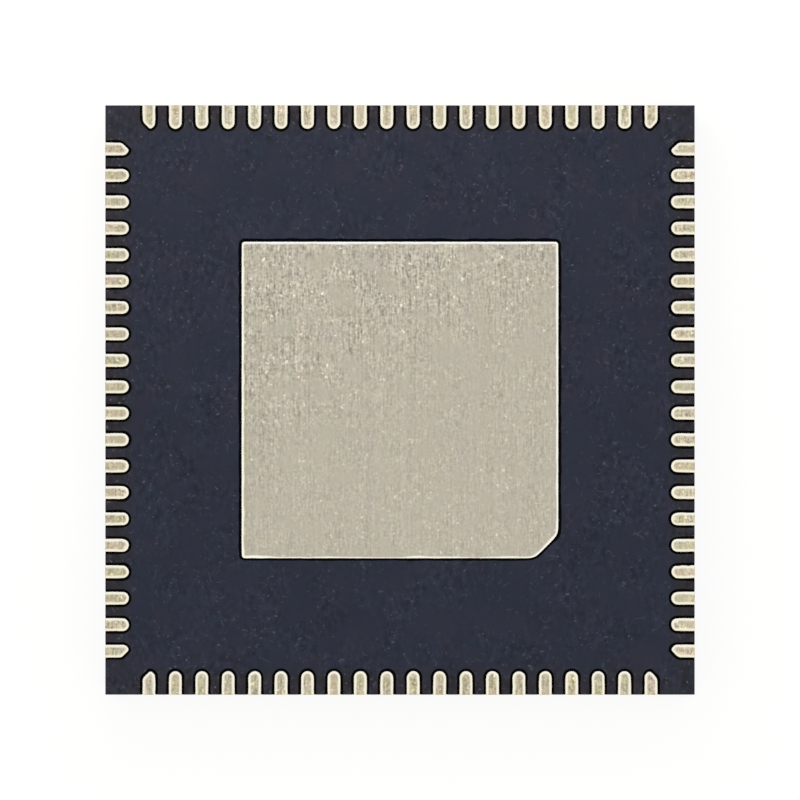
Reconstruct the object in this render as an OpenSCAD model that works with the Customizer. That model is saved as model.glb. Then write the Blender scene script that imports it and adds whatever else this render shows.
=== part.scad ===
// Quad flat no-lead video output chip: a square moulded package with a row of flush terminals along each
// side and an exposed pad in the middle. It lies on its marked face with the terminals up.
// Plan positions are as seen from the terminal side. Depths run from the terminal plane into the package.

/* [Package] */
// Height from the marked face to the terminal plane
body_h = 0.85; // [0.78:0.01:1]
// How far the terminals and the exposed pad stand proud of the mould compound
standoff = 0.02; // [0.01:0.005:0.05]
// From the centre line of a row's end terminal to the package's side
end_margin = 0.66; // [0.62:0.01:0.9]
// Diameter of the pin 1 dot in the marked face
dot_d = 0.5; // [0.3:0.05:0.8]
// Depth of the pin 1 dot
dot_depth = 0.02; // [0.01:0.005:0.04]
// From the dot's centre to each of the two package sides at its corner
dot_inset = 0.8; // [0.6:0.05:1.2]

/* [Terminals] */
// Terminals along each side
row_count = 20; // [18:1:26]
// Centre distance between neighbouring terminals
pitch = 0.4; // [0.38:0.005:0.5]
// Width of a terminal
terminal_w = 0.2; // [0.16:0.005:0.24]
// Length of a terminal's land, from the package's side to its round tip
land_l = 0.36; // [0.3:0.01:0.45]
// How far a terminal's half-etched tongue runs into the mould compound past its land
tongue_l = 0.2; // [0.1:0.01:0.3]
// Radius where an end terminal's outer side turns into its cut along the tie bar
cut_r = 0.1; // [0.05:0.01:0.14]

/* [Lead frame] */
// Thickness of the copper lead frame
frame_t = 0.2; // [0.18:0.005:0.25]
// Thickness left where the lead frame is half-etched
etched_t = 0.1; // [0.08:0.005:0.12]
// Width of the exposed pad
pad_w = 4.8; // [4.4:0.01:5.2]
// Corner radius of the exposed pad
pad_r = 0.05; // [0.03:0.01:0.1]
// Leg of the chamfer that marks the pad's pin 1 corner
pad_chamfer = 0.36; // [0.25:0.01:0.5]
// Radius at both ends of that chamfer
chamfer_r = 0.24; // [0.1:0.01:0.26]
// Width of the half-etched lip that locks the pad in the mould compound
lip_w = 0.15; // [0.08:0.01:0.25]
// Width of a tie bar between the pad and a package corner
tie_w = 0.2; // [0.14:0.01:0.26]
// Mould compound between a tie bar and the end terminals beside it
tie_gap = 0.12; // [0.1:0.005:0.18]

/* [Die] */
// Side length of the silicon die
die_w = 3.6; // [3.2:0.05:4]
// Thickness of the die
die_t = 0.25; // [0.2:0.01:0.28]
// Bond line of the adhesive between the die and the pad
glue_t = 0.025; // [0.015:0.005:0.04]
// How far the adhesive's fillet spreads past the die
fillet_w = 0.1; // [0.05:0.01:0.15]
// How far the adhesive's fillet climbs the die's sides
fillet_h = 0.12; // [0.06:0.01:0.16]

/* [Bond wires] */
// Diameter of a bond wire
wire_d = 0.025; // [0.018:0.001:0.03]
// Diameter of a bond's foot on the die or on a terminal
foot_d = 0.07; // [0.05:0.005:0.08]
// Height of a bond's foot
foot_h = 0.02; // [0.015:0.001:0.025]
// Height of a wire's neck above the die, up to where it is bent over
neck_h = 0.13; // [0.08:0.005:0.16]
// From a bond's centre to the die's side
die_bond_inset = 0.08; // [0.05:0.005:0.12]
// From a row's end bond to the neighbouring side of the die
die_row_inset = 0.16; // [0.14:0.005:0.24]
// From a bond's centre to the package's side
terminal_bond_inset = 0.2; // [0.16:0.005:0.22]

/* [Hidden] */
$fn = 48;

// The package's sides in the order of quarter turns from the north side, which is +Y
SIDES = ["north", "west", "south", "east"];

QUARTER_TURN = 90;
row_l = (row_count - 1) * pitch;
body_w = row_l + 2 * end_margin;
etch_depth = frame_t - etched_t;
die_depth = frame_t + glue_t;
die_face_depth = die_depth + die_t;
die_bond_pitch = (die_w - 2 * die_row_inset) / (row_count - 1);
// A 45 degree chamfer's leg grows by this share of the distance that its outline is moved outwards
chamfer_growth = 2 - sqrt(2);

function unit(vector) = vector / norm(vector);
function row_offset(index, spacing) = (index - (row_count - 1) / 2) * spacing;
function is_row_end(index) = index == 0 || index == row_count - 1;

// The depth range from..to of a flat piece, measured from the terminal plane
module layer(from, to) {
    translate([0, 0, body_h - to])
        linear_extrude(to - from)
            children();
}

// Turns what is drawn for the north side to face the named side
module facing(side) {
    rotate(search([side], SIDES)[0] * QUARTER_TURN)
        children();
}

// Two strips of a given width that cross along the package's diagonals
module diagonals(width) {
    for (turn = [0, QUARTER_TURN])
        rotate(turn + QUARTER_TURN / 2)
            square([2 * body_w, width], center = true);
}

// A convex outline whose corners are rounded by true arcs, one radius for each corner
module rounded_outline(corners, radii) {
    count = len(corners);
    // For each corner: where its arc starts, the arc's centre, and where the arc ends
    arcs = [for (i = [0 : count - 1])
        let (
            back = unit(corners[(i + count - 1) % count] - corners[i]),
            ahead = unit(corners[(i + 1) % count] - corners[i]),
            half_angle = acos(back * ahead) / 2,
            tangent_l = radii[i] / tan(half_angle),
            centre = corners[i] + unit(back + ahead) * radii[i] / sin(half_angle)
        )
        [corners[i] + back * tangent_l, centre, corners[i] + ahead * tangent_l]
    ];
    polygon([for (arc = arcs, tangent = [arc[0], arc[2]]) tangent]);
    for (i = [0 : count - 1])
        translate(arcs[i][1])
            circle(radii[i]);
}

// The pad's outline, moved outwards by grow, with its pin 1 corner cut off
module pad_outline(grow = 0) {
    half = pad_w / 2 + grow;
    leg = pad_chamfer + grow * chamfer_growth;
    corners = [[half, half], [-half, half], [-half, -half], [half - leg, -half], [half, leg - half]];
    radii = [pad_r, pad_r, pad_r, chamfer_r, chamfer_r];
    rounded_outline(corners, [for (radius = radii) radius + grow]);
}

module land_outline() {
    straight_l = land_l - terminal_w / 2;
    translate([-terminal_w / 2, body_w / 2 - straight_l])
        square([terminal_w, straight_l]);
    translate([0, body_w / 2 - straight_l])
        circle(d = terminal_w);
}

// What the tie bar leaves of a row's end land. hand is 1 for the first land in the row and -1 for the last
module end_cut_outline(hand) {
    reach = 2 * land_l;
    far = body_w / 2 + reach;
    outer = -terminal_w / 2;
    bar_half = tie_w / 2 + tie_gap;
    turn = [outer, body_w / 2 - end_margin - outer + bar_half * sqrt(2)];
    corners = [[outer, far], turn, turn + [reach, -reach], [outer + reach, far]];
    rounded_outline([for (corner = corners) [hand * corner.x, corner.y]], [for (corner = corners) cut_r]);
}

module tongue_outline() {
    tongue_end = body_w / 2 - land_l - tongue_l;
    translate([-terminal_w / 2, tongue_end])
        square([terminal_w, tongue_l + terminal_w / 2]);
}

module terminal(index) {
    shift = [row_offset(index, pitch), 0];
    if (is_row_end(index))
        layer(0, frame_t)
            translate(shift)
                intersection() {
                    land_outline();
                    end_cut_outline(index == 0 ? 1 : -1);
                }
    else {
        layer(0, frame_t) translate(shift) land_outline();
        layer(etch_depth, frame_t) translate(shift) tongue_outline();
    }
}

module terminals(side) {
    color("#bdb6a4")
        facing(side)
            for (index = [0 : row_count - 1])
                terminal(index);
}

// The exposed pad, its lip and the tie bars are one piece of the lead frame
module die_paddle() {
    color("#bbb5a5") {
        layer(0, frame_t) pad_outline();
        layer(etch_depth, frame_t) {
            pad_outline(lip_w);
            intersection() {
                diagonals(tie_w);
                square(body_w, center = true);
            }
        }
    }
}

module silicon_die() {
    color("#5b5f68")
        layer(die_depth, die_face_depth)
            square(die_w, center = true);
}

// The bond line under the die with a fillet that climbs the die's sides
module die_adhesive() {
    height = glue_t + fillet_h;
    color("#a7a8a4")
        difference() {
            translate([0, 0, body_h - frame_t])
                mirror([0, 0, 1])
                    linear_extrude(height, scale = die_w / (die_w + 2 * fillet_w))
                        square(die_w + 2 * fillet_w, center = true);
            silicon_die();
        }
}

// A straight length of wire along +Z whose far end is cut off by a tilted plane, for a mitred bend
module mitred_wire(length, tilt) {
    cutter_w = 4 * wire_d;
    difference() {
        cylinder(d = wire_d, h = length + wire_d);
        translate([0, 0, length])
            rotate([0, tilt, 0])
                translate([-cutter_w / 2, -cutter_w / 2, 0])
                    cube(cutter_w);
    }
}

// A wire from a foot at the origin up its neck, and from there straight to a foot that is reach away
// and drop lower
module bond_wire(reach, drop) {
    fall = neck_h + drop - foot_h;
    span = norm([reach, fall]);
    bend = QUARTER_TURN + atan2(fall, reach);
    cylinder(d = foot_d, h = foot_h);
    mitred_wire(neck_h, bend / 2);
    translate([0, 0, neck_h])
        rotate([0, bend, 0])
            translate([0, 0, span])
                mirror([0, 0, 1])
                    mitred_wire(span, bend / 2);
    translate([reach, 0, -drop])
        cylinder(d = foot_d, h = foot_h);
}

module bond_wires(side) {
    color("#d8b45a")
        facing(side)
            for (index = [0 : row_count - 1]) {
                start = [row_offset(index, die_bond_pitch), die_w / 2 - die_bond_inset];
                reach = [row_offset(index, pitch), body_w / 2 - terminal_bond_inset] - start;
                translate([start.x, start.y, body_h - die_face_depth])
                    rotate([2 * QUARTER_TURN, 0, atan2(reach.y, reach.x)])
                        bond_wire(norm(reach), glue_t + die_t);
            }
}

// Mould compound round everything else, flush with the terminals' cut ends at its sides
module mould_body() {
    color("#33353f")
        difference() {
            layer(standoff, body_h) square(body_w, center = true);
            die_paddle();
            silicon_die();
            die_adhesive();
            for (side = SIDES) {
                terminals(side);
                bond_wires(side);
            }
            translate([body_w / 2 - dot_inset, dot_inset - body_w / 2, -dot_depth])
                cylinder(d = dot_d, h = 2 * dot_depth);
        }
}

mould_body();
die_paddle();
silicon_die();
die_adhesive();
terminals("north");  // terminals_north
terminals("west");  // terminals_west
terminals("south");  // terminals_south
terminals("east");  // terminals_east
bond_wires("north");  // bond_wires_north
bond_wires("west");  // bond_wires_west
bond_wires("south");  // bond_wires_south
bond_wires("east");  // bond_wires_east
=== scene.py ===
"""Looks of a quad flat no-lead video output chip, built around its solids and laid out as an add-on.

The chip lies on its marked face with the terminals up. Lengths are in metres unless a name says millimetres.
"""

import math

import bmesh
import bpy
from bpy.props import FloatProperty, FloatVectorProperty, PointerProperty
from mathutils import Matrix, Vector, geometry, noise


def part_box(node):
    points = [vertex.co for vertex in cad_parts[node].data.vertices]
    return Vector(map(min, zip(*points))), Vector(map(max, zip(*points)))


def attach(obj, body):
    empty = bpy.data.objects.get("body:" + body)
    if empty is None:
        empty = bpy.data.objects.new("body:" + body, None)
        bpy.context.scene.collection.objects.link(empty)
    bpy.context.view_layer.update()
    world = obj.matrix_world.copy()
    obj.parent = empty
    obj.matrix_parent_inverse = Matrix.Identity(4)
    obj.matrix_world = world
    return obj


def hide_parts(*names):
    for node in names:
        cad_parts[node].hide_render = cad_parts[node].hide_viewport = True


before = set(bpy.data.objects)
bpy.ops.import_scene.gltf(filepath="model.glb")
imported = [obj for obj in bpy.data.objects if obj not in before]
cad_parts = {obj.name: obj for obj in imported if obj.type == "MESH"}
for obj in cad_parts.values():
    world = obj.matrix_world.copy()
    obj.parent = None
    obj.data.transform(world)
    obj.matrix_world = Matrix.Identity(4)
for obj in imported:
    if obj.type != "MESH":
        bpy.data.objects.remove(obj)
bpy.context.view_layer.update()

bl_info = {
    "name": "Quad Flat Chip",
    "version": (1, 0, 0),
    "blender": (4, 5, 0),
    "location": "View3D > Sidebar > Chip",
    "description": "Lead frame, mould compound and inner parts of a quad flat no-lead chip, and its stage",
    "category": "Object",
}

SIDES = ("north", "west", "south", "east")
BODY = "root"
MM = 0.001
# Two points closer than this, in millimetres, are one point or lie in one plane
NEAR_MM = 1e-4
# Longest straight step along an edge that is rolled or grooved, in millimetres
EDGE_STEP_MM = 0.025
# Least Z of an upward face's normal
UPWARD = 0.99
# Name of a value at each corner of a mesh: 1 on a rolled or grooved outline, falling to 0 at the flat
EDGE = "edge"
# The exposed pad lies within this distance of the middle along X and Y, in millimetres, and the lands beyond
PAD_REACH_MM = 3.0
# Where the one land with an uneven edge lies along Y in the east row, in millimetres, and how much deeper its
# outline wavers than the others'
WORN_LAND_MM = (-2.75, -2.45)
WORN_BITE = 3.0
# Places of the materials on a piece of the lead frame and on the package, after the plated or moulded one
FRAME_SAWN = 1
MOULD_GROOVE, MOULD_SAWN, MOULD_DOT = 1, 2, 3
# Spans of a noise pattern's values to map from: the narrower the span, the harder the pattern
SOFT_SPAN = {"From Min": 0.25, "From Max": 0.75}
USUAL_SPAN = {"From Min": 0.3, "From Max": 0.7}
HARD_SPAN = {"From Min": 0.35, "From Max": 0.65}


def linear(code):
    """The linear colour of an sRGB hex value"""
    levels = [int(code[i:i + 2], 16) / 255 for i in (1, 3, 5)]
    return [v / 12.92 if v <= 0.04045 else ((v + 0.055) / 1.055) ** 2.4 for v in levels] + [1.0]


def in_mm(*sizes):
    """Sizes that are given in millimetres"""
    return tuple(size * MM for size in sizes)


def length(name, description, millimetres):
    """A length property whose default is given in millimetres"""
    return FloatProperty(name=name, description=description, default=millimetres * MM, min=0.0,
                         subtype="DISTANCE", unit="LENGTH", precision=6)


def colour(name, description, code):
    """A colour property whose default is an sRGB hex value"""
    return FloatVectorProperty(name=name, description=description, default=linear(code), size=4,
                               min=0.0, max=1.0, subtype="COLOR")


class ChipSizes(bpy.types.PropertyGroup):
    """Fine sizes that the solids leave out"""

    rim_width: length("Rim Width", "Width of the burnished rim round a land or the exposed pad", 0.058)
    rim_drop: length("Rim Drop", "How far that rim falls towards its outline", 0.016)
    rim_waver: length("Rim Waver", "How far an etched outline wavers inwards", 0.007)
    groove_width: length("Groove Width", "Width of the groove in the mould compound round the metal", 0.04)
    groove_depth: length("Groove Depth", "Depth of that groove at the metal", 0.03)


class ChipFinishes(bpy.types.PropertyGroup):
    """Colours of the chip's materials"""

    mould: colour("Mould Compound", "Black epoxy as moulded", "#232938")
    mould_web: colour("Mould Webs", "Black epoxy between the terminals, wiped and more neutral", "#28262b")
    mould_wax: colour("Mould Wax", "Patches of the epoxy that release wax has turned warmer", "#292835")
    mould_speck: colour("Mould Specks", "Dust and scuffs on the epoxy", "#50535f")
    # Painted shade: the groove's nearly black colour stands in for the shade down in it
    mould_groove_shade: colour("Mould Groove", "Epoxy in the shade of the groove round the metal", "#070608")
    mould_sawn: colour("Sawn Mould", "Epoxy where the saw has opened it", "#4a494c")
    filler: colour("Filler", "Silica filler that the saw has cut through", "#8b8a86")
    pad: colour("Exposed Pad", "Plated face of the exposed pad", "#bdb7a8")
    land: colour("Lands", "Plated face of the lands", "#c9c1a8")
    # Painted shade: this grey darkens the lands of the west and south rows
    land_row_shade: colour("Land Stain", "Dull stain on the lands of the west and south rows", "#f3f3f2")
    # Painted highlight: the near-white colour of a land's burnished rim
    land_rim_highlight: colour("Land Rims", "Burnished rim round a land", "#f9f4e5")
    pad_stain: colour("Pad Stain", "Yellow stain along the exposed pad's west side", "#f6f8ea")
    # Painted highlight: the near-white colour of the pad's burnished rim
    pad_rim_highlight: colour("Pad Rim", "Burnished rim round the exposed pad", "#fffdf8")
    copper: colour("Sawn Copper", "Copper where the saw has cut the lead frame", "#b98365")
    silicon: colour("Silicon", "Ground sides and polished face of the die", "#5b5f68")
    adhesive: colour("Die Adhesive", "Silver-filled epoxy", "#a7a8a4")
    gold: colour("Gold Wire", "Drawn gold bond wire", "#d8b45a")


class ChipStage(bpy.types.PropertyGroup):
    """Light and camera"""

    floor: colour("Floor", "White floor and backdrop", "#ffffff")
    sky: colour("Sky", "Sky overhead", "#f9f9fa")
    sky_north: colour("North Sky", "Low sky in the north", "#f8fbff")
    sky_south: colour("South Sky", "Low sky in the south", "#f8f5e3")
    sky_strength: FloatProperty(name="Sky Strength", description="Strength of the sky's light", default=1.06,
                                min=0.0)
    key_colour: colour("Key Colour", "Warm colour of the key light", "#ffe9cf")
    key_size: length("Key Size", "Side length of the key light", 8)
    key_power: FloatProperty(name="Key Power", description="Power of the key light", default=0.00087,
                             min=0.0, unit="POWER", precision=5)
    lens: FloatProperty(name="Lens", description="Focal length of the camera", default=180.0, unit="CAMERA")
    view_width: length("View Width", "Width that the camera shows at the terminal plane", 12.105)


def add(tree, kind, inputs=(), **settings):
    """Adds a node with its settings. Its inputs, by name or index, take a value, a socket or a node, which
    stands for its first output"""
    node = tree.nodes.new("ShaderNode" + kind)
    for name, value in settings.items():
        setattr(node, name, value)
    for key, value in dict(inputs).items():
        socket = node.inputs[key] if isinstance(key, int) else next(
            socket for socket in node.inputs if socket.enabled and socket.name == key)
        if isinstance(value, bpy.types.Node):
            value = next(output for output in value.outputs if output.enabled)
        if isinstance(value, bpy.types.NodeSocket):
            tree.links.new(value, socket)
        else:
            socket.default_value = value
    return node


def emptied_tree(owner):
    """The node tree of a material or a world, emptied"""
    owner.use_nodes = True
    owner.node_tree.nodes.clear()
    return owner.node_tree


def start_material(name):
    """A material with an empty tree, and the object's coordinates in it"""
    material = bpy.data.materials.new(name)
    tree = emptied_tree(material)
    return material, tree, add(tree, "TexCoord").outputs["Object"]


def per_mm(size):
    """Scale of a pattern whose features are that many millimetres large"""
    return 1 / (size * MM)


def spots(tree, where, spacing, radius, share, dimensions):
    """Round spots of a spacing and radius in millimetres in a share of places, faint and strong ones: up to 1
    in a spot's middle and 0 outside"""
    cells = add(tree, "TexVoronoi", {"Vector": where, "Scale": per_mm(spacing)},
                voronoi_dimensions=dimensions)
    border, core = radius / spacing, 0.3 * radius / spacing
    inside = add(tree, "MapRange", {"Value": cells, "From Min": border, "From Max": core},
                 interpolation_type="SMOOTHSTEP")
    # A cell's own colour goes with its spot's place in it, so that choosing by it would set the spots in rows
    chance = add(tree, "TexWhiteNoise", {"Vector": cells.outputs["Color"]})
    strength = add(tree, "MapRange", {"Value": chance, "From Min": share, "From Max": 0.0})
    return add(tree, "Math", {0: inside, 1: strength}, operation="MULTIPLY")


def moulded_epoxy(finishes, half_mm):
    """Epoxy mould compound as it leaves a fine-eroded mould: a dull blue-black, softly mottled in places,
    with warmer patches of wax, dust specks and a few short scuffs. half_mm is half the package's width"""
    material, tree, where = start_material("Epoxy_mould_compound_moulded")
    sides = add(tree, "SeparateXYZ", {"Vector": add(tree, "VectorMath", {0: where}, operation="ABSOLUTE")})
    reach = add(tree, "Math", {0: sides.outputs["X"], 1: sides.outputs["Y"]}, operation="MAXIMUM")
    across = add(tree, "Math", {0: sides.outputs["X"], 1: sides.outputs["Y"]}, operation="MINIMUM")
    # The webs between the terminals are the most neutral. They start before the lands' tips, and towards the
    # package's corners they fade to about half
    start, full = in_mm(half_mm - 0.45, half_mm - 0.2)
    web = add(tree, "MapRange", {"Value": reach, "From Min": start, "From Max": full})
    corner, row_end = in_mm(half_mm - 0.4, half_mm - 0.6)
    row = add(tree, "MapRange", {"Value": across, "From Min": corner, "From Max": row_end, "To Min": 0.55})
    web = add(tree, "Math", {0: web, 1: row}, operation="MULTIPLY")
    tint = add(tree, "Mix", {"Factor": web, "A": finishes.mould, "B": finishes.mould_web}, data_type="RGBA")
    wax = add(tree, "TexNoise", {"Vector": where, "Scale": per_mm(0.45), "Detail": 1.0})
    waxed = add(tree, "MapRange", {"Value": wax, **HARD_SPAN, "To Max": 0.45})
    tint = add(tree, "Mix", {"Factor": waxed, "A": tint, "B": finishes.mould_wax}, data_type="RGBA")
    # Mottling, from nearly none in calm places to a third in others, and more on the webs
    calm = add(tree, "TexNoise", {"Vector": where, "Scale": per_mm(0.5), "Detail": 1.0})
    depth = add(tree, "MapRange", {"Value": calm, "From Min": 0.38, "From Max": 0.65,
                                   "To Min": 0.05, "To Max": 0.34})
    depth = add(tree, "Math", {0: web, 1: 0.15, 2: depth}, operation="MULTIPLY_ADD")
    upright = add(tree, "Mapping", {"Vector": where, "Scale": in_mm(0.065, 0.1, 0.08)}, vector_type="TEXTURE")
    mottle = add(tree, "TexNoise", {"Vector": upright, "Scale": 1.0, "Detail": 1.0})
    swing = add(tree, "MapRange", {"Value": mottle, "From Min": 0.28, "From Max": 0.72, "To Min": -1.0})
    level = add(tree, "Math", {0: swing, 1: depth, 2: 1.0}, operation="MULTIPLY_ADD")
    tint = add(tree, "VectorMath", {"Vector": tint, "Scale": level}, operation="SCALE")
    cloud = add(tree, "TexNoise", {"Vector": where, "Scale": per_mm(0.9), "Detail": 1.0})
    level = add(tree, "MapRange", {"Value": cloud, **USUAL_SPAN, "To Min": 0.94, "To Max": 1.06})
    tint = add(tree, "VectorMath", {"Vector": tint, "Scale": level}, operation="SCALE")
    # Scuffs are short stretches of a thin winding line, in few places
    winding = add(tree, "TexNoise", {"Vector": where, "Scale": per_mm(0.18), "Detail": 0.0})
    beside = add(tree, "Math", {0: winding, 1: 0.5}, operation="SUBTRACT")
    beside = add(tree, "Math", {0: beside}, operation="ABSOLUTE")
    line = add(tree, "MapRange", {"Value": beside, "From Min": 0.03, "From Max": 0.0, "To Max": 0.38})
    place = add(tree, "TexNoise", {"Vector": where, "Scale": per_mm(0.11), "Detail": 0.0})
    place = add(tree, "MapRange", {"Value": place, "From Min": 0.62, "From Max": 0.75})
    scuff = add(tree, "Math", {0: line, 1: place}, operation="MULTIPLY")
    dust = add(tree, "TexNoise", {"Vector": where, "Scale": per_mm(0.045), "Detail": 0.0})
    dust = add(tree, "MapRange", {"Value": dust, "From Min": 0.72, "From Max": 0.86, "To Max": 2.2})
    dust = add(tree, "Math", {0: dust, 1: depth}, operation="MULTIPLY")
    pale = add(tree, "Math", {0: scuff, 1: dust}, operation="MAXIMUM")
    tint = add(tree, "Mix", {"Factor": pale, "A": tint, "B": finishes.mould_speck}, data_type="RGBA")
    rough = add(tree, "MapRange", {"Value": mottle, **USUAL_SPAN, "To Min": 0.54, "To Max": 0.64})
    bump = add(tree, "Bump", {"Height": mottle, "Distance": 0.002 * MM, "Strength": 0.5})
    shader = add(tree, "BsdfPrincipled", {"Base Color": tint, "Roughness": rough, "Normal": bump,
                                          "Specular IOR Level": 0.12})
    add(tree, "OutputMaterial", {"Surface": shader})
    return material


def groove_shade_epoxy(finishes):
    """Epoxy mould compound down in the groove beside the metal: rough, with a nearly black colour that is
    painted shade"""
    material, tree, where = start_material("Epoxy_mould_compound_groove_shade")
    grain = add(tree, "TexNoise", {"Vector": where, "Scale": per_mm(0.02), "Detail": 3.0})
    level = add(tree, "MapRange", {"Value": grain, **USUAL_SPAN, "To Min": 0.6, "To Max": 1.5})
    tint = add(tree, "VectorMath", {"Vector": finishes.mould_groove_shade[:3], "Scale": level}, operation="SCALE")
    bump = add(tree, "Bump", {"Height": grain, "Distance": 0.003 * MM})
    shader = add(tree, "BsdfPrincipled", {"Base Color": tint, "Roughness": 0.8, "Normal": bump,
                                          "Specular IOR Level": 0.03})
    add(tree, "OutputMaterial", {"Surface": shader})
    return material


def sawn_epoxy(finishes):
    """Epoxy mould compound cut by a diamond saw: a dry dark grey, with cut filler grains and fine lines along
    the cut. The lines are drawn coarser than the real ones of a micron or two, so that they show"""
    material, tree, where = start_material("Epoxy_mould_compound_sawn")
    along = add(tree, "Mapping", {"Vector": where, "Scale": in_mm(1.5, 1.5, 0.012)}, vector_type="TEXTURE")
    lines = add(tree, "TexNoise", {"Vector": along, "Scale": 1.0})
    level = add(tree, "MapRange", {"Value": lines, **USUAL_SPAN, "To Min": 0.78, "To Max": 1.2})
    tint = add(tree, "VectorMath", {"Vector": finishes.mould_sawn[:3], "Scale": level}, operation="SCALE")
    grain = add(tree, "TexNoise", {"Vector": where, "Scale": per_mm(0.03), "Detail": 3.0})
    level = add(tree, "MapRange", {"Value": grain, **USUAL_SPAN, "To Min": 0.85, "To Max": 1.15})
    tint = add(tree, "VectorMath", {"Vector": tint, "Scale": level}, operation="SCALE")
    small, large = spots(tree, where, 0.06, 0.02, 0.9, "3D"), spots(tree, where, 0.11, 0.038, 0.45, "3D")
    cut = add(tree, "Math", {0: small, 1: large}, operation="MAXIMUM")
    cut = add(tree, "Math", {0: cut, 1: 0.5}, operation="MULTIPLY")
    tint = add(tree, "Mix", {"Factor": cut, "A": tint, "B": finishes.filler}, data_type="RGBA")
    rough = add(tree, "MapRange", {"Value": grain, **USUAL_SPAN, "To Min": 0.6, "To Max": 0.85})
    height = add(tree, "Math", {0: grain, 1: 0.7, 2: lines}, operation="MULTIPLY_ADD")
    bump = add(tree, "Bump", {"Height": height, "Distance": 0.004 * MM, "Strength": 0.7})
    shader = add(tree, "BsdfPrincipled", {"Base Color": tint, "Roughness": rough, "Normal": bump,
                                          "Specular IOR Level": 0.2})
    add(tree, "OutputMaterial", {"Surface": shader})
    return material


def polished_epoxy(finishes):
    """Epoxy mould compound against a polished mould pin: smooth and a little glossy, for the pin 1 dot"""
    material, tree, where = start_material("Epoxy_mould_compound_polished")
    grain = add(tree, "TexNoise", {"Vector": where, "Scale": per_mm(0.05)})
    level = add(tree, "MapRange", {"Value": grain, **USUAL_SPAN, "To Min": 0.9, "To Max": 1.1})
    tint = add(tree, "VectorMath", {"Vector": finishes.mould[:3], "Scale": level}, operation="SCALE")
    rough = add(tree, "MapRange", {"Value": grain, **USUAL_SPAN, "To Min": 0.22, "To Max": 0.32})
    shader = add(tree, "BsdfPrincipled", {"Base Color": tint, "Roughness": rough, "Specular IOR Level": 0.4})
    add(tree, "OutputMaterial", {"Surface": shader})
    return material


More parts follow.
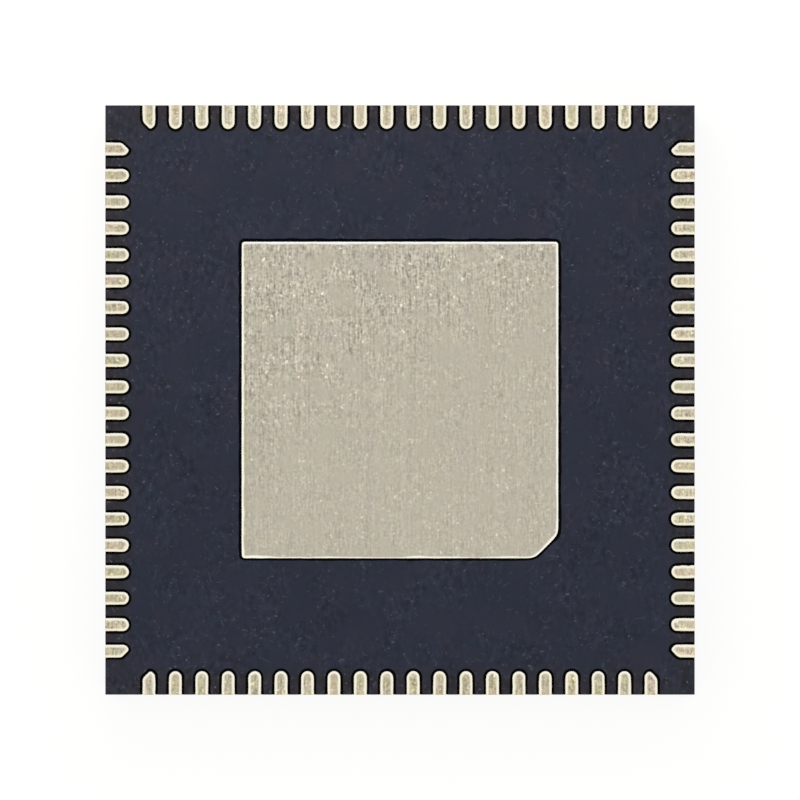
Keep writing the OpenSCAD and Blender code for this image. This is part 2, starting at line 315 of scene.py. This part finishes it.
def plated_strip(name, face, rim, tinge, wear_ratio, stain_and_shade):
    """Rolled copper strip, plated with nickel, palladium and a flash of gold, its edges rounded and
    burnished,
    with a painted highlight on them: a pale champagne metal, tinged rosy or green and yellow or blue in
    places, with rolling lines and dashes along Y, and crumbs and painted glints in patches.

    tinge is how far the tints swing. wear_ratio is how strong the marks are in the south-east, as a share of
    those in the north-west. stain_and_shade is where a darker tint starts, as a direction and a distance that
    way in millimetres, and its colour, which the metal's is multiplied by beyond that place: a real stain on
    the pad and painted shade on the lands.
    """
    material, tree, where = start_material(name)
    hue = add(tree, "TexNoise", {"Vector": where, "Scale": per_mm(0.35), "Detail": 1.0})
    share = add(tree, "MapRange", {"Value": hue, **HARD_SPAN})
    rosy = [level * part for level, part in zip(face, (1 + tinge, 1 - tinge / 2, 1 - tinge / 4, 1.0))]
    green = [level * part for level, part in zip(face, (1 - tinge / 2, 1.0, 1 - tinge, 1.0))]
    tint = add(tree, "Mix", {"Factor": share, "A": green, "B": rosy}, data_type="RGBA")
    cast = add(tree, "TexNoise", {"Vector": where, "Scale": per_mm(0.28), "Detail": 1.0})
    share = add(tree, "MapRange", {"Value": cast, **HARD_SPAN})
    yellow, blue = (1.0, 1.0, 1 - 1.5 * tinge, 1.0), (1.0, 1.0, 1 + 1.5 * tinge, 1.0)
    cast = add(tree, "Mix", {"Factor": share, "A": yellow, "B": blue}, data_type="RGBA")
    tint = add(tree, "Mix", {"Factor": 1.0, "A": tint, "B": cast}, data_type="RGBA", blend_type="MULTIPLY")
    # Where the strip has been handled: in patches, which change in strength from north-west to south-east
    patch = add(tree, "TexNoise", {"Vector": where, "Scale": per_mm(0.45), "Detail": 1.0})
    patch = add(tree, "MapRange", {"Value": patch, "From Min": 0.3, "From Max": 0.55,
                                   "To Min": 0.25, "To Max": 1.15})
    place = add(tree, "SeparateXYZ", {"Vector": where})
    across = add(tree, "Math", {0: place.outputs["X"], 1: -0.5, 2: place.outputs["Y"]},
                 operation="MULTIPLY_ADD")
    south_east, north_west = in_mm(-0.3, 1.9)
    fading = add(tree, "MapRange", {"Value": across, "From Min": south_east, "From Max": north_west,
                                    "To Min": wear_ratio}, interpolation_type="SMOOTHSTEP")
    handled = add(tree, "Math", {0: patch, 1: fading}, operation="MULTIPLY")
    upright = add(tree, "Mapping", {"Vector": where, "Scale": in_mm(0.029, 0.14, 0.14)},
                  vector_type="TEXTURE")
    dashes = add(tree, "TexNoise", {"Vector": upright, "Scale": 1.0, "Detail": 1.0})
    dash = add(tree, "MapRange", {"Value": dashes, **SOFT_SPAN, "To Min": -0.26, "To Max": 0.26})
    upright = add(tree, "Mapping", {"Vector": where, "Scale": in_mm(0.03, 1.4, 1.4)}, vector_type="TEXTURE")
    lines = add(tree, "TexNoise", {"Vector": upright, "Scale": 1.0, "Detail": 0.0})
    line = add(tree, "MapRange", {"Value": lines, **SOFT_SPAN, "To Min": -0.1, "To Max": 0.1})
    crumbs = add(tree, "TexNoise", {"Vector": where, "Scale": per_mm(0.042), "Detail": 1.0})
    crumb = add(tree, "MapRange", {"Value": crumbs, **SOFT_SPAN, "To Min": -0.26, "To Max": 0.26})
    level = add(tree, "Math", {0: dash, 1: crumb}, operation="ADD")
    level = add(tree, "Math", {0: level, 1: line}, operation="ADD")
    # Painted glints: brighter spots in the metal's colour. The crumbs' pattern pulls them out of the round
    pull = add(tree, "VectorMath", {"Vector": crumbs.outputs["Color"], "Scale": 0.08 * MM}, operation="SCALE")
    pulled = add(tree, "VectorMath", {0: where, 1: pull}, operation="ADD")
    glints = spots(tree, pulled, 0.075, 0.024, 0.25, "2D")
    level = add(tree, "Math", {0: glints, 1: 0.9, 2: level}, operation="MULTIPLY_ADD")
    level = add(tree, "Math", {0: level, 1: handled, 2: 1.0}, operation="MULTIPLY_ADD")
    tint = add(tree, "VectorMath", {"Vector": tint, "Scale": level}, operation="SCALE")
    # Painted shade on the lands and a real stain on the pad: the metal's colour is multiplied beyond a place
    towards, start_mm, stain_and_shade_tint = stain_and_shade
    start, full = in_mm(start_mm, start_mm + 0.1)
    reach = add(tree, "VectorMath", {0: where, 1: towards}, operation="DOT_PRODUCT")
    stain_and_shade_mask = add(tree, "MapRange", {"Value": reach, "From Min": start, "From Max": full},
                  interpolation_type="SMOOTHSTEP")
    tint = add(tree, "Mix", {"Factor": stain_and_shade_mask, "A": tint, "B": stain_and_shade_tint}, data_type="RGBA",
               blend_type="MULTIPLY")
    # Painted highlight: the colour turns near white towards the rim's outline. The lower roughness there is
    # the burnished metal's own
    edge = add(tree, "Attribute", attribute_name=EDGE).outputs["Fac"]
    rim_highlight_share = add(tree, "MapRange", {"Value": edge, "From Max": 0.65}, interpolation_type="SMOOTHSTEP")
    tint = add(tree, "Mix", {"Factor": rim_highlight_share, "A": tint, "B": rim}, data_type="RGBA")
    rough = add(tree, "MapRange", {"Value": rim_highlight_share, "To Min": 0.46, "To Max": 0.3})
    height = add(tree, "Math", {0: crumbs, 1: 0.6, 2: dashes}, operation="MULTIPLY_ADD")
    height = add(tree, "Math", {0: height, 1: handled}, operation="MULTIPLY")
    bump = add(tree, "Bump", {"Height": height, "Distance": 0.001 * MM})
    shader = add(tree, "BsdfPrincipled", {"Base Color": tint, "Roughness": rough, "Normal": bump,
                                          "Metallic": 1.0})
    add(tree, "OutputMaterial", {"Surface": shader})
    return material


def sawn_copper(finishes):
    """Copper cut by the same saw as the epoxy round it: salmon pink, with fine lines along the cut and darker
    smears. The lines are drawn coarser than the real ones, so that they show"""
    material, tree, where = start_material("Copper_sawn")
    along = add(tree, "Mapping", {"Vector": where, "Scale": in_mm(0.8, 0.8, 0.01)}, vector_type="TEXTURE")
    lines = add(tree, "TexNoise", {"Vector": along, "Scale": 1.0})
    level = add(tree, "MapRange", {"Value": lines, **USUAL_SPAN, "To Min": 0.82, "To Max": 1.12})
    tint = add(tree, "VectorMath", {"Vector": finishes.copper[:3], "Scale": level}, operation="SCALE")
    smear = add(tree, "TexNoise", {"Vector": where, "Scale": per_mm(0.11)})
    level = add(tree, "MapRange", {"Value": smear, "From Min": 0.3, "From Max": 0.6,
                                   "To Min": 0.75, "To Max": 1.05})
    tint = add(tree, "VectorMath", {"Vector": tint, "Scale": level}, operation="SCALE")
    rough = add(tree, "MapRange", {"Value": smear, **USUAL_SPAN, "To Min": 0.5, "To Max": 0.32})
    bump = add(tree, "Bump", {"Height": lines, "Distance": 0.002 * MM})
    shader = add(tree, "BsdfPrincipled", {"Base Color": tint, "Roughness": rough, "Normal": bump,
                                          "Metallic": 1.0})
    add(tree, "OutputMaterial", {"Surface": shader})
    return material


def ground_silicon(finishes):
    """Silicon, ground on the back and sides and polished on its face: a cold grey mirror with faint grinding
    marks"""
    material, tree, where = start_material("Silicon_ground_and_polished")
    turned = add(tree, "Mapping", {"Vector": where, "Rotation": (0, 0, math.radians(35)),
                                   "Scale": in_mm(0.02, 1.2, 0.05)}, vector_type="TEXTURE")
    marks = add(tree, "TexNoise", {"Vector": turned, "Scale": 1.0})
    level = add(tree, "MapRange", {"Value": marks, **USUAL_SPAN, "To Min": 0.92, "To Max": 1.08})
    tint = add(tree, "VectorMath", {"Vector": finishes.silicon[:3], "Scale": level}, operation="SCALE")
    rough = add(tree, "MapRange", {"Value": marks, **USUAL_SPAN, "To Min": 0.12, "To Max": 0.25})
    shader = add(tree, "BsdfPrincipled", {"Base Color": tint, "Roughness": rough, "Metallic": 1.0})
    add(tree, "OutputMaterial", {"Surface": shader})
    return material


def silver_epoxy(finishes):
    """Epoxy filled with silver flakes and cured: a dull silver paste with glints"""
    material, tree, where = start_material("Silver_filled_epoxy_cured")
    flakes = add(tree, "TexNoise", {"Vector": where, "Scale": per_mm(0.012), "Detail": 3.0})
    level = add(tree, "MapRange", {"Value": flakes, **USUAL_SPAN, "To Min": 0.8, "To Max": 1.15})
    tint = add(tree, "VectorMath", {"Vector": finishes.adhesive[:3], "Scale": level}, operation="SCALE")
    rough = add(tree, "MapRange", {"Value": flakes, **USUAL_SPAN, "To Min": 0.35, "To Max": 0.65})
    bump = add(tree, "Bump", {"Height": flakes, "Distance": 0.002 * MM})
    shader = add(tree, "BsdfPrincipled", {"Base Color": tint, "Roughness": rough, "Normal": bump,
                                          "Metallic": 0.8})
    add(tree, "OutputMaterial", {"Surface": shader})
    return material


def drawn_gold(finishes):
    """Gold drawn through a die: bright yellow metal with faint marks of the drawing"""
    material, tree, where = start_material("Gold_wire_drawn")
    marks = add(tree, "TexNoise", {"Vector": where, "Scale": per_mm(0.008)})
    level = add(tree, "MapRange", {"Value": marks, **USUAL_SPAN, "To Min": 0.94, "To Max": 1.05})
    tint = add(tree, "VectorMath", {"Vector": finishes.gold[:3], "Scale": level}, operation="SCALE")
    rough = add(tree, "MapRange", {"Value": marks, **USUAL_SPAN, "To Min": 0.18, "To Max": 0.3})
    shader = add(tree, "BsdfPrincipled", {"Base Color": tint, "Roughness": rough, "Metallic": 1.0})
    add(tree, "OutputMaterial", {"Surface": shader})
    return material


def solid_of(node):
    """A copy of a node's solid in millimetres, welded, with each flat area that has no hole as one face"""
    solid = bmesh.new()
    solid.verts.layers.float.new(EDGE)
    solid.from_mesh(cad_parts[node].data)
    bmesh.ops.transform(solid, matrix=Matrix.Scale(1 / MM, 4), verts=solid.verts)
    bmesh.ops.remove_doubles(solid, verts=solid.verts, dist=NEAR_MM)
    bmesh.ops.dissolve_limit(solid, angle_limit=math.radians(1), verts=solid.verts, edges=solid.edges)
    return solid


def in_side_plane(points, half):
    """True if all points lie in one of the package's four sides"""
    return any(
        all(abs(point[axis] - side * half) < NEAR_MM for point in points)
        for axis in (0, 1) for side in (-1, 1)
    )


def boundary_loops(faces):
    """The closed outlines of a set of flat faces, each as its corners in order with the faces on the left"""
    inside = set(faces)
    following = {}
    for face in faces:
        for loop in face.loops:
            if all(other is face or other not in inside for other in loop.edge.link_faces):
                following[loop.vert] = loop.link_loop_next.vert
    outlines = []
    while following:
        outline = [next(iter(following))]
        while following.get(outline[-1]) not in (None, outline[0]):
            outline.append(following.pop(outline[-1]))
        following.pop(outline[-1])
        outlines.append(outline)
    return outlines


def edge_between(first, second):
    """The edge that joins two corners"""
    return next(edge for edge in first.link_edges if edge.other_vert(first) is second)


def split_edge(first, second, shares):
    """Puts corners on the edge from first to second, at rising shares of its length"""
    start, run = first.co.copy(), second.co - first.co
    added = []
    for share in shares:
        last = added[-1] if added else first
        corner = bmesh.utils.edge_split(edge_between(last, second), last, 0.5)[1]
        corner.co = start + run * share
        added.append(corner)
    return added


def left_of(first, second):
    """The direction to the left of the way from one corner to another"""
    run = (second.co - first.co).normalized()
    return Vector((-run.y, run.x, 0.0))


def soften(outline, half, passes):
    """Rounds the corners of an outline a little, apart from those in the package's sides"""
    for _ in range(passes):
        befores, afters = outline[-1:] + outline[:-1], outline[1:] + outline[:1]
        moved = [(before.co + 2 * corner.co + after.co) / 4
                 for before, corner, after in zip(befores, outline, afters)]
        for corner, place in zip(outline, moved):
            if not in_side_plane((corner.co,), half):
                corner.co = place


def roll_edges(solid, faces, half, profile, passes=0):
    """Rolls the edges of flat faces over, except those in the package's sides, after passes of softening.

    profile(points, inward) gives the rings from an outline inwards, each as a list with the place of every
    point and the value of EDGE there. Returns the rolled strips and the new outlines of the flat faces.
    """
    if not faces:
        raise ValueError("there is no flat face to roll")
    outlines = boundary_loops(faces)
    bmesh.ops.delete(solid, geom=list(faces), context="FACES_ONLY")
    strips, remaining = [], []
    for outline in outlines:
        fine = []
        for corner, after in zip(outline, outline[1:] + outline[:1]):
            fine.append(corner)
            if not in_side_plane((corner.co, after.co), half):
                parts = math.ceil((after.co - corner.co).length / EDGE_STEP_MM)
                fine += split_edge(corner, after, [i / parts for i in range(1, parts)])
        soften(fine, half, passes)
        strip, rest = roll_outline(solid, fine, half, profile)
        strips += strip
        remaining.append(rest)
    return strips, remaining


def roll_outline(solid, outline, half, profile):
    """Rolls one outline; see roll_edges"""
    edge = solid.verts.layers.float[EDGE]
    count = len(outline)
    sawn = [in_side_plane((outline[i].co, outline[(i + 1) % count].co), half) for i in range(count)]
    inward = []
    for i, corner in enumerate(outline):
        before, after = outline[i - 1], outline[(i + 1) % count]
        if sawn[i - 1] and sawn[i]:
            inward.append(None)
            continue
        if sawn[i - 1]:
            along, square = (before.co - corner.co).normalized(), left_of(corner, after)
        elif sawn[i]:
            along, square = (after.co - corner.co).normalized(), left_of(before, corner)
        else:
            square = left_of(before, corner)
            along = (square + left_of(corner, after)).normalized()
        inward.append(along / along.dot(square))
    rolled = [i for i in range(count) if inward[i]]
    rings = profile([outline[i].co.copy() for i in rolled], [inward[i] for i in rolled])
    columns = [[corner] for corner in outline]
    for number, i in enumerate(rolled):
        places = [ring[number] for ring in rings]
        if sawn[i]:
            columns[i] = split_towards(outline[i], columns[(i + 1) % count][-1], len(places))
        elif sawn[i - 1]:
            columns[i] = split_towards(outline[i], columns[i - 1][-1], len(places))
        else:
            columns[i] += [solid.verts.new(place) for place, _ in places[1:]]
        for vert, (place, value) in zip(columns[i], places):
            vert.co = place
            vert[edge] = value
    strip = []
    for i in range(count):
        if not sawn[i]:
            left, right = columns[i], columns[(i + 1) % count]
            strip += [solid.faces.new(corners) for corners in zip(left, right, right[1:], left[1:])]
    return strip, [column[-1] for column in columns]


def split_towards(corner, neighbour, count):
    """Puts corners on the edge in the package's side that leads to a neighbour, so that there are count of
    them with the first. Their places are set later"""
    column = [corner]
    while len(column) < count:
        column.append(bmesh.utils.edge_split(edge_between(column[-1], neighbour), column[-1], 0.5)[1])
    return column


def room_inside(points, inward, most):
    """For each point of an outline, the radius of the largest disc inside that touches it there, or most"""
    rooms = []
    for point, direction in zip(points, inward):
        square, room = direction.normalized(), most
        for other in points:
            across = other - point
            height = across.dot(square)
            if height > NEAR_MM:
                room = min(room, across.length_squared / (2 * height))
        rooms.append(room)
    return rooms


def inset_outline(points, inward, rooms, shift):
    """Points moved inwards by a shift. Those that would cross over others come to lie between neighbours"""
    count = len(points)
    free = [i for i in range(count) if rooms[i] > shift] or list(range(count))
    moved = [None] * count
    for start, end in zip(free, free[1:] + [free[0] + count]):
        first = points[start] + inward[start] * shift
        last = points[end % count] + inward[end % count] * shift
        for i in range(start, end):
            moved[i % count] = first.lerp(last, (i - start) / (end - start))
    return moved


def fill_between(solid, outlines):
    """Fills the flat area on the left of some outlines: inside the outer one and outside the others"""
    corners, edges, owners = [], [], []
    for number, outline in enumerate(outlines):
        places = range(len(corners), len(corners) + len(outline))
        edges += zip(places, [*places[1:], places[0]])
        corners += outline
        owners += [number] * len(outline)
    within_outer = 1
    _, _, triangles, origins, _, _ = geometry.delaunay_2d_cdt(
        [corner.co.xy for corner in corners], edges, [], within_outer, NEAR_MM / 10)
    for triangle in triangles:
        i, j, k = (origins[place][0] for place in triangle)
        # A triangle in a hole has all three corners on the hole's outline and runs against it
        in_hole = owners[i] == owners[j] == owners[k] and (j - i) * (k - j) * (i - k) > 0
        if not in_hole:
            solid.faces.new((corners[i], corners[j], corners[k]))


def top_faces(solid, height):
    """The upward flat faces at a height"""
    return [face for face in solid.faces
            if face.normal.z > UPWARD and all(abs(vert.co.z - height) < NEAR_MM for vert in face.verts)]


def finish_piece(solid, name, materials, nodes, rolled=()):
    """Makes an object of a solid that stands for CAD nodes. Rolled faces are shaded smooth, others flat"""
    smooth = set(rolled)
    for face in solid.faces:
        face.smooth = face in smooth
    bmesh.ops.recalc_face_normals(solid, faces=solid.faces)
    bmesh.ops.transform(solid, matrix=Matrix.Scale(MM, 4), verts=solid.verts)
    mesh = bpy.data.meshes.new(name)
    solid.to_mesh(mesh)
    solid.free()
    shading = mesh.attributes.get("custom_normal")
    if shading:
        mesh.attributes.remove(shading)
    for material in materials:
        mesh.materials.append(material)
    piece = bpy.data.objects.new(name, mesh)
    bpy.context.scene.collection.objects.link(piece)
    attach(piece, BODY)
    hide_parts(*nodes)


def waver(point, size_mm):
    """A smooth random value from 0 to 1 that is the same on each run"""
    return 0.5 + 0.5 * noise.noise(point / size_mm)


def package_half_mm():
    """Half the package's width"""
    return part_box("mould_body")[1].x / MM


def rolled_rim(width, drop, bite):
    """Profile of the rim round a land or the pad, which falls away towards its outline. width(point, inward)
    gives its width and bite(point) how far the etched outline stands back, in millimetres"""
    # Places of the rings, as shares of the rim's width
    steps = (0.0, 0.16, 0.34, 0.6, 1.0)

    def rings(points, inward):
        points = [point + direction * bite(point) for point, direction in zip(points, inward)]
        widths = [width(point, direction) for point, direction in zip(points, inward)]
        rooms = room_inside(points, inward, 2 * max(widths))
        shares = [widest / max(widths) for widest in widths]
        made = []
        for step in steps:
            scaled = [direction * share for direction, share in zip(inward, shares)]
            places = inset_outline(points, scaled, rooms, step * max(widths))
            fall = Vector((0, 0, drop * (1 - step) ** 2))
            made.append([(place - fall, 1 - step) for place in places])
        return made

    return rings


def dress_metal(solid, half, profile):
    """Rolls the rims of the lead frame's terminal side and sorts faces: plated or sawn. Returns the rims"""
    top = max(vert.co.z for vert in solid.verts)
    strips, outlines = roll_edges(solid, top_faces(solid, top), half, profile, passes=2)
    for outline in outlines:
        solid.faces.new(outline)
    for face in solid.faces:
        if in_side_plane([vert.co for vert in face.verts], half):
            face.material_index = FRAME_SAWN
    return strips


class CHIP_OT_terminals(bpy.types.Operator):
    """Builds the four rows of plated terminals with rolled rims and sawn copper ends"""

    bl_idname = "chip.terminals"
    bl_label = "Plated Terminals"

    def execute(self, context):
        sizes, finishes = context.scene.chip_sizes, context.scene.chip_finishes
        half = package_half_mm()
        # Painted shade: the lands of the west and south rows are darkened a little
        south_west, start_mm = Vector((-1, -1, 0)).normalized(), 0.0
        plated = plated_strip("Copper_strip_plated_lands", finishes.land, finishes.land_rim_highlight, tinge=0.045,
                              wear_ratio=1.1, stain_and_shade=(south_west, start_mm, finishes.land_row_shade))
        materials = [plated, sawn_copper(finishes)]
        width, drop, waver_depth = (size / MM for size in (sizes.rim_width, sizes.rim_drop, sizes.rim_waver))

        def rim_width(point, inward):
            return width * (0.85 + 0.3 * waver(point, 0.12))

        def bite(point):
            # Only the higher part of the pattern bites, so that stretches of the outline stay as etched
            first, last = WORN_LAND_MM
            worn = WORN_BITE if point.x > PAD_REACH_MM and first < point.y < last else 1.0
            return waver_depth * worn * max(0.0, 1.4 * waver(point, 0.09) - 0.4)

        rim = rolled_rim(rim_width, drop, bite)
        for side in SIDES:
            node = "terminals_" + side
            solid = solid_of(node)
            rims = dress_metal(solid, half, rim)
            finish_piece(solid, "plated_" + node, materials, [node], rims)
        return {"FINISHED"}


class CHIP_OT_paddle(bpy.types.Operator):
    """Builds the die paddle with the rolled rim of its exposed pad and the sawn ends of its tie bars"""

    bl_idname = "chip.paddle"
    bl_label = "Exposed Pad"

    def execute(self, context):
        sizes, finishes = context.scene.chip_sizes, context.scene.chip_finishes
        half = package_half_mm()
        # The pad is stained yellow along its west side, from a little west of the die
        west, start_mm = (-1, 0, 0), 0.45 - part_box("silicon_die")[0].x / MM
        plated = plated_strip("Copper_strip_plated_pad", finishes.pad, finishes.pad_rim_highlight, tinge=0.012,
                              wear_ratio=0.44, stain_and_shade=(west, start_mm, finishes.pad_stain))
        materials = [plated, bpy.data.materials.get("Copper_sawn") or sawn_copper(finishes)]
        width, drop, waver_depth = (size / MM for size in (sizes.rim_width, sizes.rim_drop, sizes.rim_waver))

        def rim_width(point, inward):
            # The pad's rim is narrower than a land's, the most and the least even along its south side
            on_south, on_east = inward.y > 0.8, inward.x < -0.8
            if on_south:
                return width * (0.15 + 1.1 * waver(point, 0.35))
            share = 0.78 if on_east else 0.88
            return width * share * (0.7 + 0.6 * waver(point, 0.2))

        def bite(point):
            return waver_depth * waver(point, 0.12)

        solid = solid_of("die_paddle")
        rims = dress_metal(solid, half, rolled_rim(rim_width, drop, bite))
        finish_piece(solid, "plated_die_paddle", materials, ["die_paddle"], rims)
        return {"FINISHED"}


class CHIP_OT_package(bpy.types.Operator):
    """Builds the moulded package: a dark groove round each land and the pad, sawn sides and a pin 1 dot"""

    bl_idname = "chip.package"
    bl_label = "Moulded Package"

    def execute(self, context):
        sizes, finishes = context.scene.chip_sizes, context.scene.chip_finishes
        half = package_half_mm()
        width, depth = sizes.groove_width / MM, sizes.groove_depth / MM
        solid = solid_of("mould_body")
        top = max(vert.co.z for vert in solid.verts)
        bottom = min(vert.co.z for vert in solid.verts)
        # Shares of the groove's width, and so of the band of painted shade. It is the widest round the pad,
        # apart from the pad's south side and pin 1 chamfer, where it is narrower
        at_lands, at_pad, at_pad_south = 0.91, 1.05, 0.8

        def groove(points, inward):
            rims, flats = [], []
            for point, direction in zip(points, inward):
                share = at_lands
                if max(abs(point.x), abs(point.y)) < PAD_REACH_MM:
                    southward = direction.y < -0.7
                    share = at_pad_south if southward else at_pad
                shift = width * share * (0.75 + 0.5 * waver(point, 0.15))
                rims.append((point - Vector((0, 0, depth)), 1.0))
                flats.append((point + direction.normalized() * shift, 0.0))
            return rims, flats

        strips, outlines = roll_edges(solid, top_faces(solid, top), half, groove)
        fill_between(solid, outlines)
        # The groove's strips take the nearly black material of painted shade
        for face in strips:
            face.material_index = MOULD_GROOVE
        # Only the pin 1 dot's floor lies between the marked face and this height
        dot_limit = bottom + 0.1
        for face in solid.faces:
            points = [vert.co for vert in face.verts]
            if in_side_plane(points, half):
                face.material_index = MOULD_SAWN
            elif all(bottom + NEAR_MM < point.z < dot_limit for point in points):
                face.material_index = MOULD_DOT
        materials = [moulded_epoxy(finishes, half), groove_shade_epoxy(finishes), sawn_epoxy(finishes),
                     polished_epoxy(finishes)]
        finish_piece(solid, "moulded_package", materials, ["mould_body"])
        return {"FINISHED"}


def refinish(nodes, material):
    """Gives CAD nodes whose shape stays a better material"""
    for node in nodes:
        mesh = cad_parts[node].data
        mesh.materials.clear()
        mesh.materials.append(material)


class CHIP_OT_silicon_die(bpy.types.Operator):
    """Finishes the silicon die inside the package"""

    bl_idname = "chip.silicon_die"
    bl_label = "Silicon Die"

    def execute(self, context):
        refinish(["silicon_die"], ground_silicon(context.scene.chip_finishes))
        return {"FINISHED"}


class CHIP_OT_die_adhesive(bpy.types.Operator):
    """Finishes the adhesive between the die and the paddle"""

    bl_idname = "chip.die_adhesive"
    bl_label = "Die Adhesive"

    def execute(self, context):
        refinish(["die_adhesive"], silver_epoxy(context.scene.chip_finishes))
        return {"FINISHED"}


class CHIP_OT_bond_wires(bpy.types.Operator):
    """Finishes the four rows of bond wires inside the package"""

    bl_idname = "chip.bond_wires"
    bl_label = "Bond Wires"

    def execute(self, context):
        refinish(["bond_wires_" + side for side in SIDES], drawn_gold(context.scene.chip_finishes))
        return {"FINISHED"}


class CHIP_OT_stage(bpy.types.Operator):
    """Sets a white floor, soft studio light and a camera that looks straight down on the terminals"""

    bl_idname = "chip.stage"
    bl_label = "Stage"

    def execute(self, context):
        stage = context.scene.chip_stage
        self.make_floor(stage)
        self.make_light(context.scene, stage)
        self.make_camera(context.scene, stage)
        return {"FINISHED"}

    def make_floor(self, stage):
        # White to the eye and in reflections; a share of it takes the light and so keeps the object's shadow
        lit_share = 0.12
        material = bpy.data.materials.new("Paper_white_matt")
        tree = emptied_tree(material)
        diffuse = add(tree, "BsdfDiffuse", {"Color": stage.floor})
        glow = add(tree, "Emission", {"Color": stage.floor})
        path = add(tree, "LightPath")
        seen = add(tree, "Math", {0: path.outputs["Is Camera Ray"], 1: path.outputs["Is Glossy Ray"]},
                   operation="MAXIMUM")
        seen = add(tree, "Math", {0: seen, 1: path.outputs["Is Transmission Ray"]}, operation="MAXIMUM")
        share = add(tree, "Math", {0: seen, 1: 1 - lit_share}, operation="MULTIPLY")
        mixed = add(tree, "MixShader", {0: share, 1: diffuse, 2: glow})
        add(tree, "OutputMaterial", {"Surface": mixed})
        # It reaches far past the view, and lies a hair below the marked face
        reach, gap = 0.4, 2e-6
        mesh = bpy.data.meshes.new("floor")
        corners = [(x * reach, y * reach, -gap) for x, y in ((-1, -1), (1, -1), (1, 1), (-1, 1))]
        mesh.from_pydata(corners, [], [(0, 1, 2, 3)])
        mesh.materials.append(material)
        floor = bpy.data.objects.new("floor", mesh)
        bpy.context.scene.collection.objects.link(floor)

    def make_light(self, scene, stage):
        # An even white sky, a little cool in the north and warm low in the south
        world = bpy.data.worlds.new("Studio")
        tree = emptied_tree(world)
        direction = add(tree, "SeparateXYZ", {"Vector": add(tree, "TexCoord").outputs["Generated"]})
        height = add(tree, "MapRange", {"Value": direction.outputs["Z"], "From Min": 0.6, "From Max": 0.95})
        north = add(tree, "MapRange", {"Value": direction.outputs["Y"], "From Min": -0.8, "From Max": 0.8})
        low = add(tree, "Mix", {"Factor": north, "A": stage.sky_south, "B": stage.sky_north},
                  data_type="RGBA")
        sky = add(tree, "Mix", {"Factor": height, "A": low, "B": stage.sky}, data_type="RGBA")
        light = add(tree, "Background", {"Color": sky, "Strength": stage.sky_strength})
        backdrop = add(tree, "Background", {"Color": stage.floor})
        seen = add(tree, "LightPath").outputs["Is Camera Ray"]
        shown = add(tree, "MixShader", {0: seen, 1: light, 2: backdrop})
        add(tree, "OutputWorld", {"Surface": shown})
        scene.world = world
        scene.view_settings.view_transform = "Standard"
        # The key, a warm lamp, stands close by in the north, so that its light falls off across the mould
        # compound. It is left out of reflections, where the even sky shows
        key = bpy.data.lights.new("key", "AREA")
        key.size = stage.key_size
        key.color = stage.key_colour[:3]
        key.energy = stage.key_power
        lamp = bpy.data.objects.new("key", key)
        lamp.location = in_mm(-2, 11, 8)
        lamp.rotation_euler = (-lamp.location).to_track_quat("-Z", "Y").to_euler()
        lamp.visible_glossy = False
        scene.collection.objects.link(lamp)

    def make_camera(self, scene, stage):
        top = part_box("die_paddle")[1].z
        data = bpy.data.cameras.new("camera")
        data.lens = stage.lens
        data.clip_start = 1 * MM
        camera = bpy.data.objects.new("camera", data)
        distance = stage.view_width * data.lens / data.sensor_width
        camera.location = (0, 0, top + distance)
        scene.collection.objects.link(camera)
        scene.camera = camera


class CHIP_PT_panel(bpy.types.Panel):
    """Lists the chip's pieces, sizes and finishes"""

    bl_label = "Quad Flat Chip"
    bl_idname = "CHIP_PT_panel"
    bl_space_type = "VIEW_3D"
    bl_region_type = "UI"
    bl_category = "Chip"

    def draw(self, context):
        for operator in OPERATORS:
            self.layout.operator(operator.bl_idname)
        for group in (context.scene.chip_sizes, context.scene.chip_finishes, context.scene.chip_stage):
            box = self.layout.box()
            for name in group.__annotations__:
                box.prop(group, name)


OPERATORS = (CHIP_OT_terminals, CHIP_OT_paddle, CHIP_OT_package, CHIP_OT_silicon_die, CHIP_OT_die_adhesive,
             CHIP_OT_bond_wires, CHIP_OT_stage)
CLASSES = (ChipSizes, ChipFinishes, ChipStage) + OPERATORS + (CHIP_PT_panel,)


def register():
    for item in CLASSES:
        bpy.utils.register_class(item)
    bpy.types.Scene.chip_sizes = PointerProperty(type=ChipSizes)
    bpy.types.Scene.chip_finishes = PointerProperty(type=ChipFinishes)
    bpy.types.Scene.chip_stage = PointerProperty(type=ChipStage)


def unregister():
    del bpy.types.Scene.chip_stage
    del bpy.types.Scene.chip_finishes
    del bpy.types.Scene.chip_sizes
    for item in reversed(CLASSES):
        bpy.utils.unregister_class(item)


def main():
    register()
    bpy.ops.chip.terminals()
    bpy.ops.chip.paddle()
    bpy.ops.chip.package()
    bpy.ops.chip.silicon_die()
    bpy.ops.chip.die_adhesive()
    bpy.ops.chip.bond_wires()
    bpy.ops.chip.stage()


if __name__ == "__main__":
    main()
